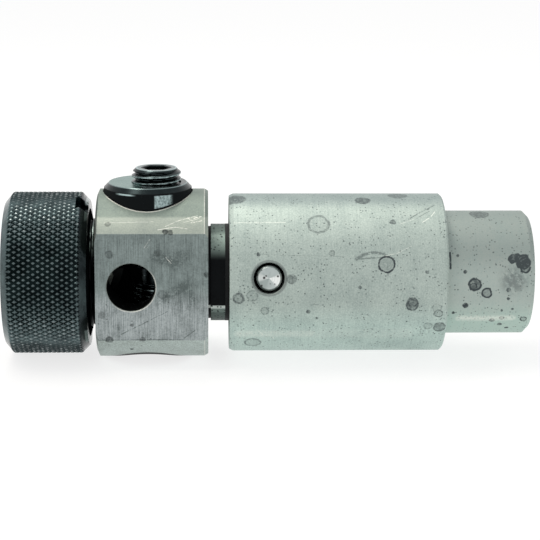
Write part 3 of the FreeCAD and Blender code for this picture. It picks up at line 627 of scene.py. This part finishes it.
# Marks on the jaws, all painted light and shade: painted shade on the bevel and darkest on the wall, a
# painted reflection and a painted highlight gleam on the wall, a painted highlight round the top edge, and a
# painted reflection on the left of the top face
jawMarks = {
    "bevelStart": (7.85, 8.1),
    "wallStart": (8.6, 8.78),
    "gleamWallStart": (8.7, 8.78),
    "frontSide": (0.0, -3.0),
    "reflectionLeft": (-57.9, -57.6),
    "reflectionRight": (-54.0, -54.9),
    "reflectionTop": (17.5, 17.35),
    "reflectionFoot": (17.12, 17.28),
    "gleamLeft": (-65.7, -64.6),
    "gleamRight": (-61.2, -62.8),
    "gleamHeight": 17.45,
    "gleamHalf": (0.24, 0.08),
    "edgeRadius": 7.82,
    "edgeHalf": (0.14, 0.04),
    "edgeHeight": (18.4, 18.5),
    "faceRadius": (7.85, 7.6),
    "faceHeight": (18.5, 18.6),
    "faceRight": (-60.2, -61.0),
}


# Painted shade on the jaw's bevel, darkest on its wall
def jawShade(place):
    away = postDistance(place, jawX)
    return (away.step(*jawMarks["bevelStart"]) * 0.6).larger(away.step(*jawMarks["wallStart"]))


# A painted reflection and a painted highlight gleam on the wall, and a painted highlight round the top edge
def jawPaintedLight(place):
    x, y, z, away = place.part(0), place.part(1), place.part(2), postDistance(place, jawX)
    smeared = place.noise(2.4, 4, 0.7).step(0.2, 0.6) * axisDistance(place).step(*jawMarks["reflectionFoot"])
    onWall = away.step(*jawMarks["gleamWallStart"]) * y.step(*jawMarks["frontSide"])
    reflectionPatch = x.step(*jawMarks["reflectionLeft"]) * x.step(*jawMarks["reflectionRight"])
    reflectionPatch = reflectionPatch * z.step(*jawMarks["reflectionTop"]) * smeared * 0.92
    gleam = x.step(*jawMarks["gleamLeft"]) * x.step(*jawMarks["gleamRight"])
    gleam = gleam * abs(z - jawMarks["gleamHeight"]).step(*jawMarks["gleamHalf"])
    edge = abs(away - jawMarks["edgeRadius"]).step(*jawMarks["edgeHalf"])
    edge = edge * z.step(*jawMarks["edgeHeight"]) * 0.45
    return (onWall * reflectionPatch.larger(gleam)).larger(edge)


# Painted reflection on the left part of the jaw's top face
def jawFaceReflection(place):
    x, z, away = place.part(0), place.part(2), postDistance(place, jawX)
    face = away.step(*jawMarks["faceRadius"]) * z.step(*jawMarks["faceHeight"])
    return face * x.step(*jawMarks["faceRight"])


# Marks on the jaw screw: painted shade in the grooves, and painted highlights on the crests, on the top face
# and on the rim round the socket
screwMarks = {
    "grooveStart": (4.9, 4.4),
    "crestStart": (4.925, 4.945),
    "faceStart": (3.0, 3.2),
    "faceHeight": (21.45, 21.55),
    "rimRadius": 3.95,
    "rimHalf": (0.22, 0.1),
    "rimHeight": (21.4, 21.5),
}


# Painted shade in the thread's grooves
def screwShade(place):
    return postDistance(place, screwX).step(*screwMarks["grooveStart"]) * 0.4


# Painted highlights on the crests, on the top face and on the rim round the socket
def screwPaintedHighlights(place):
    z, away = place.part(2), postDistance(place, screwX)
    crest = away.step(*screwMarks["crestStart"]) * (place.noise(2.2, 3).step(0.35, 0.6) * 0.5 + 0.5)
    face = z.step(*screwMarks["faceHeight"]) * away.step(*screwMarks["faceStart"])
    rim = abs(away - screwMarks["rimRadius"]).step(*screwMarks["rimHalf"]) * z.step(*screwMarks["rimHeight"])
    return (crest * 0.7).larger(face * 0.3).larger(rim * 0.9)


nutLook = {
    "colour": (0.105, 0.145, 0.148),
    "dullColour": (0.058, 0.080, 0.083),
    # Colours of painted shade and of wear with painted highlights
    "paintedShadeColour": (0.006, 0.008, 0.009),
    "wearAndHighlightColour": (0.32, 0.36, 0.36),
    "facedFrom": (-87.4, -87.7),
    "roughness": 0.11,
    "specular": 0.0,
    "uneven": 30.0,
}

# Marks on the nut: painted shade in the knurl's grooves, on its top and foot and a little in its middle;
# crests bared by wear, with painted highlights near the top and foot; and the plain rear bevel with its
# slots, with painted shade on it and on the rear face and a painted highlight on its rim at top and foot
nutMarks = {
    "grooveRadius": (16.26, 16.02),
    "crestRadius": (16.2, 16.34),
    "knurlRear": (-72.6, -73.0),
    "knurlFront": (-86.5, -86.2),
    "levelTop": (11.0, 8.0),
    "levelFoot": (-7.0, -4.0),
    "topShade": (15.0, 16.2),
    "footShade": (-10.5, -13.0),
    "bevelStart": (-72.9, -72.5),
    "bevelMiddle": -2,
    "rearFace": (-71.2, -71.05),
    "highlightTop": (8.0, 11.5),
    "highlightFoot": (-4.0, -8.0),
    "rimRadius": 14.95,
    "rimHalf": (0.45, 0.25),
    "rimStart": (-71.9, -71.7),
    "rimTop": (12.2, 12.8),
    "rimFoot": (-8.8, -9.2),
    "rimFootEnd": (-12.4, -12.0),
}


# Painted shade in the grooves, on the top and foot, a little in the middle, on the rear bevel and on the rear
# face
def knurlShade(place):
    x, height, away = place.part(0), place.part(2), axisDistance(place)
    inKnurl = x.step(*nutMarks["knurlRear"]) * x.step(*nutMarks["knurlFront"])
    groove = away.step(*nutMarks["grooveRadius"]) * inKnurl
    aboveFoot = height.step(*nutMarks["levelFoot"])
    level = height.step(*nutMarks["levelTop"]) * aboveFoot
    shaded = (height.step(*nutMarks["topShade"]) * 0.6).larger(height.step(*nutMarks["footShade"]) * 0.7)
    offMiddle = abs(height - nutMarks["bevelMiddle"]).step(2.0, 5.0)
    bevel = x.step(*nutMarks["bevelStart"]) * (offMiddle * 0.25 + 0.6)
    dark = (groove * (0.5 - aboveFoot * 0.3)).larger(shaded).larger(level * 0.22)
    return dark.larger(bevel).larger(x.step(*nutMarks["rearFace"]))


# Crests bared by wear, painted highlights on them near the top and foot, and a painted highlight on the rear
# rim
def knurlWearAndHighlights(place):
    x, height, away = place.part(0), place.part(2), axisDistance(place)
    far = height.step(*nutMarks["highlightTop"]).larger(height.step(*nutMarks["highlightFoot"]))
    crest = away.step(*nutMarks["crestRadius"]) * place.noise(1.9, 4, 0.75).step(0.44, 0.64)
    rim = abs(away - nutMarks["rimRadius"]).step(*nutMarks["rimHalf"]) * x.step(*nutMarks["rimStart"])
    rimFoot = height.step(*nutMarks["rimFoot"]) * height.step(*nutMarks["rimFootEnd"])
    return (crest * (far * 0.75 + 0.2)).larger(rim * height.step(*nutMarks["rimTop"]).larger(rimFoot))


# Plain metals and rubber inside
def plainFinish(name, colour, dullColour, roughness, stretch=(1, 1, 1), scale=2.0, metallic=1.0, **more):
    material, place = startMaterial(name)
    grain = place.noise(scale, 4, 0.6, stretch)
    smear = place.noise(0.3, 3, 0.6)
    dull = (grain.step(0.3, 0.75) * 0.6 + smear.step(0.4, 0.7) * 0.4).smaller(1.0)
    endMaterial(
        place,
        Base_Color=dull.mix(colour, dullColour),
        Metallic=metallic,
        Roughness=roughness + grain * 0.12,
        Normal=grain.bump(0.3, 0.004),
        **more,
    )
    return material


turnedWay = (3.5, 0.05, 0.05)
rubber = {"scale": 3.0, "metallic": 0.0, "Specular_IOR_Level": 0.25}
blackNut = blackOxide("black_steel_nut", nutLook, knurlWearAndHighlights, knurlShade)
blackScrew = blackOxide("black_steel_screw", oxideLook, screwPaintedHighlights, screwShade)
finishes = {
    "black_steel": blackOxide("black_steel", oxideLook, jawPaintedLight, jawShade, jawFaceReflection),
    "pin_steel": pinSteel(pinLook),
    "bearing_steel": plainFinish("bearing_steel", (0.56, 0.57, 0.58), (0.40, 0.41, 0.42), 0.2, turnedWay),
    "spring_steel": plainFinish("spring_steel", (0.32, 0.32, 0.34), (0.2, 0.2, 0.22), 0.28, turnedWay),
    "cage_brass": plainFinish("cage_brass", (0.72, 0.56, 0.25), (0.55, 0.42, 0.2), 0.28, turnedWay),
    "ring_rubber": plainFinish("ring_rubber", (0.004, 0.005, 0.006), (0.012, 0.013, 0.014), 0.5, **rubber),
}
ownFinish = {
    "housing": bareSteelHousing(housingLook),
    "chuck_body": bareSteelHead(headLook),
    "screw_locating_pin": plainFinish("pin_steel_plain", (0.42, 0.45, 0.44), (0.28, 0.31, 0.30), 0.3),
}
for part in frame["record"]["subparts"]:
    made = frame["nodes"][part["node"]]
    made.data.materials.clear()
    made.data.materials.append(ownFinish.get(part["node"]) or finishes[part["material_slot"]])
print("materials ready")


def addObject(name, data):
    made = bpy.data.objects.new(name, data)
    bpy.context.scene.collection.objects.link(made)
    return made


# A piece from a grid of rings, each a closed list of points. Quads, or triangles split as diagonals says
def ringPiece(name, rings, material, diagonals=None):
    count = len(rings[0])
    points = [point for ring in rings for point in ring]
    faces = []
    for row in range(len(rings) - 1):
        for column in range(count):
            nextColumn = (column + 1) % count
            a, b = row * count + column, row * count + nextColumn
            c, d = (row + 1) * count + nextColumn, (row + 1) * count + column
            if diagonals is None:
                faces.append((a, b, c, d))
            elif diagonals(row, column):
                faces += [(a, b, c), (a, c, d)]
            else:
                faces += [(a, b, d), (b, c, d)]
    mesh = bpy.data.meshes.new(name)
    mesh.from_pydata(points, [], faces)
    mesh.materials.append(material)
    mesh.update()
    return addObject(name, mesh)


def shadeSmooth(piece, angle):
    piece.data.shade_smooth()
    piece.data.set_sharp_from_angle(angle=math.radians(angle))


def triangleWave(phase):
    return 1 - abs(2 * (phase - math.floor(phase)) - 1)


# A ring about the part's axis
def ringAt(x, radiusAt, count):
    ring = []
    for index in range(count):
        angle = 2 * math.pi * index / count
        radius = radiusAt(angle)
        ring.append((x * mm, -radius * math.cos(angle) * mm, radius * math.sin(angle) * mm))
    return ring


# Knurled nut: crossed grooves cut into the turned form, smooth chamfers, spanner slots, hub and bore
nutForm = {
    "front": -87.8,
    "rear": -71.1,
    "radius": 16.35,
    "grooveDepth": 0.42,
    "crestShare": 0.64,
    "starts": 92,
    "axialPitch": 1.87,
    "finer": 4,  # steps in half a pitch
    "frontBevel": (1.5, 1.8),
    "rearBevel": (1.6, 1.6),
    "slotWidth": 3.5,
    "slotFront": -73.5,
    "slotFloor": 13.95,
    "slotAngle": math.radians(73.0),
    "slotEdge": 0.02,  # half the width of the step at the slots' front end
    "slotClear": 0.05,  # no other ring of the knurl is nearer to that step
    "rearFace": 13.06,
    "hub": 11.46,
    "hubLength": 0.4,
    "bore": 11.05,
    "boreBevel": 0.15,
    "shoulder": -83.3,
    "pocket": 9.71,
    "ringGroove": 10.32,
    "ringGrooveRear": -83.84,
    "ringGrooveFront": -84.28,
    "pocketFloor": -86.9,
    "mouth": 7.63,
    "mouthBevel": 0.2,
    "frontFace": 14.55,
}


def nutOutline(x):
    length, drop = nutForm["frontBevel"]
    front = nutForm["radius"] - drop * max(0.0, 1 - (x - nutForm["front"]) / length)
    length, drop = nutForm["rearBevel"]
    rear = nutForm["radius"] - drop * max(0.0, 1 - (nutForm["rear"] - x) / length)
    return min(front, rear)


def nutRadius(x, angle):
    around = angle * nutForm["starts"] / (2 * math.pi)
    along = (x - nutForm["front"]) / nutForm["axialPitch"]
    height = min(triangleWave(around + along), triangleWave(around - along))
    height = min(height, nutForm["crestShare"]) / nutForm["crestShare"]
    return min(nutForm["radius"] - nutForm["grooveDepth"] * (1 - height), nutOutline(x))


# How far out the nut may reach in its two slots
def slotLimit(x, angle):
    if x < nutForm["slotFront"]:
        return math.inf
    turned = angle - nutForm["slotAngle"]
    aside = math.cos(turned)
    if abs(math.sin(turned) * nutForm["slotFloor"] / max(abs(aside), 0.01)) > nutForm["slotWidth"] / 2:
        return math.inf
    return nutForm["slotFloor"] / abs(aside)


# Rings inside the nut, each a place and a radius, from the rear face by hub, bore and pocket to the mouth
def nutInside():
    rear, front, bore, bevel = nutForm["rear"], nutForm["front"], nutForm["bore"], nutForm["boreBevel"]
    hubEnd, mouthStart = rear + nutForm["hubLength"], front + nutForm["mouthBevel"]
    shoulder, pocket, floor, mouth = (nutForm[key] for key in ("shoulder", "pocket", "pocketFloor", "mouth"))
    groove, grooveRear, grooveFront = (nutForm["ringGroove" + end] for end in ("", "Rear", "Front"))
    return [
        (rear, nutForm["rearFace"]), (hubEnd, nutForm["hub"]),
        (hubEnd, bore + bevel), (hubEnd - bevel, bore), (shoulder, bore),
        (shoulder, pocket), (grooveRear, pocket), (grooveRear, groove),
        (grooveFront, groove), (grooveFront, pocket), (floor, pocket), (floor, mouth),
        (mouthStart, mouth), (front, mouth + nutForm["mouthBevel"]), (front, nutForm["frontFace"]),
    ]


# Which way a small face of the knurl is split, so that the edges follow its grooves
def knurlDiagonal(row, column):
    return (row // nutForm["finer"] + column // nutForm["finer"]) % 2 == 0


def makeNut():
    finer, edge, slotFront = nutForm["finer"], nutForm["slotEdge"], nutForm["slotFront"]
    count = 2 * nutForm["starts"] * finer
    step = nutForm["axialPitch"] / 2 / finer
    length = nutForm["rear"] - nutForm["front"]
    stations = [nutForm["front"] + step * i for i in range(int(length / step) + 1)]
    stations = [x for x in stations if abs(x - slotFront) > nutForm["slotClear"]]
    stations = sorted(stations + [slotFront - edge, slotFront + edge, nutForm["rear"]])
    rings = [ringAt(x, lambda a, x=x: min(nutRadius(x, a), slotLimit(x, a)), count) for x in stations]
    rings += [ringAt(x, lambda a, radius=radius: radius, count) for x, radius in nutInside()]
    piece = ringPiece("nut_knurled", rings, blackNut, knurlDiagonal)
    shadeSmooth(piece, 24)
    return piece


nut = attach(makeNut(), "nut")
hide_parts("clamping_nut")
print("nut ready")

# Jaw screw: right-hand thread above the neck, left-hand below, hexagon socket in the top
screwForm = {
    "top": 21.6,
    "bottom": -15.5,
    "crest": 4.95,
    "depth": 0.72,
    "pitch": 1.25,
    "neck": 3.3,
    "halfNeck": 1.6,
    "neckEdge": 0.01,
    "endRadius": 4.1,
    "endBevel": 0.25,
    "socketFlats": 5.0,
    "socketDepth": 5.0,
    "socketBevel": (0.22, 0.2),
    "drillRadius": 2.2,
    "drillTip": 0.6,
    "columns": 96,
    "rowsPerPitch": 10,
}
threadShare = {"root": 0.14, "flank": 0.62}


# Height from 0 at the root to 1 at the crest
def threadHeight(phase):
    return min(max((triangleWave(phase) - threadShare["root"]) / threadShare["flank"], 0.0), 1.0)


def screwRadius(z, angle):
    if abs(z) < screwForm["halfNeck"]:
        return screwForm["neck"]
    hand = 1 if z > 0 else -1
    height = threadHeight(z / screwForm["pitch"] - hand * angle / (2 * math.pi))
    radius = screwForm["crest"] - screwForm["depth"] * (1 - height)
    toEnd = min(screwForm["top"] - z, z - screwForm["bottom"])
    return min(radius, screwForm["endRadius"] + toEnd)


def hexagonRadius(angle):
    sixth = math.pi / 3
    return screwForm["socketFlats"] / 2 / math.cos((angle % sixth) - sixth / 2)


# A ring about the screw's axis
def crossRing(z, radiusAt):
    ring = []
    for index in range(screwForm["columns"]):
        angle = 2 * math.pi * index / screwForm["columns"]
        radius = radiusAt(angle)
        ring.append(((screwX + radius * math.cos(angle)) * mm, radius * math.sin(angle) * mm, z * mm))
    return ring


def makeScrew():
    top, bottom, half, edge = (screwForm[key] for key in ("top", "bottom", "halfNeck", "neckEdge"))
    floor = top - screwForm["socketDepth"]
    outward, down = screwForm["socketBevel"]
    step = screwForm["pitch"] / screwForm["rowsPerPitch"]
    stations = [bottom + step * i for i in range(int((top - bottom) / step))] + [top]
    stations = sorted(stations + [-half - edge, -half + edge, half - edge, half + edge])
    rings = [crossRing(bottom, lambda a: 0.0)]
    rings.append(crossRing(bottom, lambda a: screwForm["endRadius"] - screwForm["endBevel"]))
    rings += [crossRing(z, lambda a, z=z: screwRadius(z, a)) for z in stations]
    rings.append(crossRing(top, lambda a: hexagonRadius(a) + outward))
    rings += [crossRing(z, hexagonRadius) for z in (top - down, floor)]
    rings.append(crossRing(floor, lambda a: screwForm["drillRadius"]))
    rings.append(crossRing(floor - screwForm["drillTip"], lambda a: 0.0))
    piece = ringPiece("jaw_screw_threaded", rings, blackScrew)
    shadeSmooth(piece, 28)
    return piece


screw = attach(makeScrew(), "cross_screw")
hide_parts("jaw_screw")
print("jaw screw ready")

# The fine thread on the nose, which fades at both ends, with random dark patches and painted shade low down
noseForm = {
    "front": -82.7,
    "rear": -69.45,
    "fadeFront": 0.8,
    "fadeRear": 0.6,
    "crest": 10.95,
    "root": 10.52,
    "pitch": 1.0,
    "start": 0.5,
    "columns": 160,
    "rowsPerPitch": 10,
}
threadLook = {
    "colour": (0.17, 0.21, 0.20),
    # Colour of random dark patches and of painted shade low down
    "patchAndShadeColour": (0.010, 0.011, 0.012),
    "shadeBand": (7.5, 5.0),
    "roughness": 0.26,
}


def bareSteelThread(look):
    material, place = startMaterial("bare_steel_thread")
    # Random dark patches, and painted shade below the band
    patchesAndShade = place.noise(0.8, 3).step(0.6, 0.3).larger(place.part(2).step(*look["shadeBand"]))
    fine = place.noise(3.0, 4)
    endMaterial(
        place,
        Base_Color=patchesAndShade.mix(look["colour"], look["patchAndShadeColour"]),
        Metallic=1.0,
        Roughness=look["roughness"] + fine * 0.12,
        Normal=fine.bump(0.3, 0.004),
    )
    return material


def noseRadius(x, angle):
    fade = max(0.0, (noseForm["rear"] - x) / noseForm["fadeRear"])
    fade = min(1.0, (x - noseForm["front"]) / noseForm["fadeFront"], fade)
    height = threadHeight((x + noseForm["start"]) / noseForm["pitch"] + angle / (2 * math.pi))
    return noseForm["root"] + (noseForm["crest"] - noseForm["root"]) * height * fade


def makeNoseThread():
    step = noseForm["pitch"] / noseForm["rowsPerPitch"]
    count = int((noseForm["rear"] - noseForm["front"]) / step)
    stations = [noseForm["front"] + step * i for i in range(count + 1)]
    rings = [ringAt(x, lambda a, x=x: noseRadius(x, a), noseForm["columns"]) for x in stations]
    piece = ringPiece("nose_thread", rings, bareSteelThread(threadLook))
    shadeSmooth(piece, 40)
    return piece


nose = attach(makeNoseThread(), "head")
print("nose thread ready")

# Floor, sky, lamp and camera, in metres
stageLook = {
    "floorZ": -0.0172,
    "floorReach": 3.0,
    "floorColour": (0.30, 0.30, 0.30),
    "floorGlow": 0.76,
    "sky": 0.8,
    "skyTop": 0.6,
    "skyTopBand": (0.45, 0.95),
}


# 1 for the rays that show the background: seen, mirrored or passed through
def backgroundRays(wire):
    seen, mirrored, through = (wire.node("ShaderNodeLightPath", {}, {}, output) for output in (0, 3, 6))
    return seen.larger(mirrored).larger(through)


def makeFloor():
    mesh = bpy.data.meshes.new("floor")
    reach, z = stageLook["floorReach"], stageLook["floorZ"]
    corners = [(-reach, -reach, z), (reach, -reach, z), (reach, reach, z), (-reach, reach, z)]
    mesh.from_pydata(corners, [], [(0, 1, 2, 3)])
    material, place = startMaterial("floor")
    strength = backgroundRays(place) * stageLook["floorGlow"]
    matte = place.node("ShaderNodeBsdfDiffuse", {}, {"Color": stageLook["floorColour"]})
    glow = place.node("ShaderNodeEmission", {}, {"Color": (1, 1, 1), "Strength": strength})
    surface = place.node("ShaderNodeAddShader", {}, {0: matte, 1: glow})
    place.node("ShaderNodeOutputMaterial", {}, {"Surface": surface})
    mesh.materials.append(material)
    floor = addObject("floor", mesh)


# The sky is a little darker overhead, and plain white behind the part
def makeSky():
    world = bpy.data.worlds.new("sky")
    bpy.context.scene.world = world
    world.use_nodes = True
    world.node_tree.nodes.clear()
    source = world.node_tree.nodes.new("ShaderNodeTexCoord")
    direction = Wire(world.node_tree, source.outputs["Generated"])
    above = direction.part(2).step(*stageLook["skyTopBand"])
    level = stageLook["sky"] + above * (stageLook["skyTop"] - stageLook["sky"])
    shown = backgroundRays(direction)
    strength = level * (1 - shown) + shown
    background = direction.node("ShaderNodeBackground", {}, {"Color": (1, 1, 1), "Strength": strength})
    direction.node("ShaderNodeOutputWorld", {}, {"Surface": background})


lampLook = {
    "place": Vector((-0.17, 0.06, 0.45)),
    "aim": Vector((-0.06, 0, 0)),
    "size": (0.5, 0.13),
    "power": 1.15,
    "colour": (1.0, 0.95, 0.87),
}


def makeLamp(name, look):
    data = bpy.data.lights.new(name, "AREA")
    data.shape = "RECTANGLE"
    data.size, data.size_y = look["size"]
    data.energy = look["power"]
    data.color = look["colour"]
    lamp = addObject(name, data)
    lamp.location = look["place"]
    lamp.rotation_mode = "QUATERNION"
    lamp.rotation_quaternion = (look["aim"] - look["place"]).to_track_quat("-Z", "Y")


cameraLook = {
    "aim": Vector((-0.0346, 0, 0.00038)),
    "distance": 0.365,
    "azimuth": math.radians(-2.1),
    "elevation": math.radians(13.4),
    "roll": math.radians(0.4),
    "lens": 119.3,
    "sensor": 36,
    "clip": (0.01, 20),
}


def makeCamera():
    azimuth, elevation = cameraLook["azimuth"], cameraLook["elevation"]
    level = math.cos(elevation)
    back = Vector((math.sin(azimuth) * level, -math.cos(azimuth) * level, math.sin(elevation)))
    data = bpy.data.cameras.new("camera")
    data.lens, data.sensor_width = cameraLook["lens"], cameraLook["sensor"]
    data.clip_start, data.clip_end = cameraLook["clip"]
    camera = addObject("camera", data)
    camera.rotation_mode = "QUATERNION"
    camera.location = cameraLook["aim"] + back * cameraLook["distance"]
    turn = Matrix.Rotation(cameraLook["roll"], 3, back)
    camera.rotation_quaternion = (turn @ (-back).to_track_quat("-Z", "Y").to_matrix()).to_quaternion()
    bpy.context.scene.camera = camera


makeFloor()
makeSky()
makeLamp("softbox_top", lampLook)
makeCamera()
bpy.context.scene.view_settings.view_transform = "Standard"
print("stage ready")
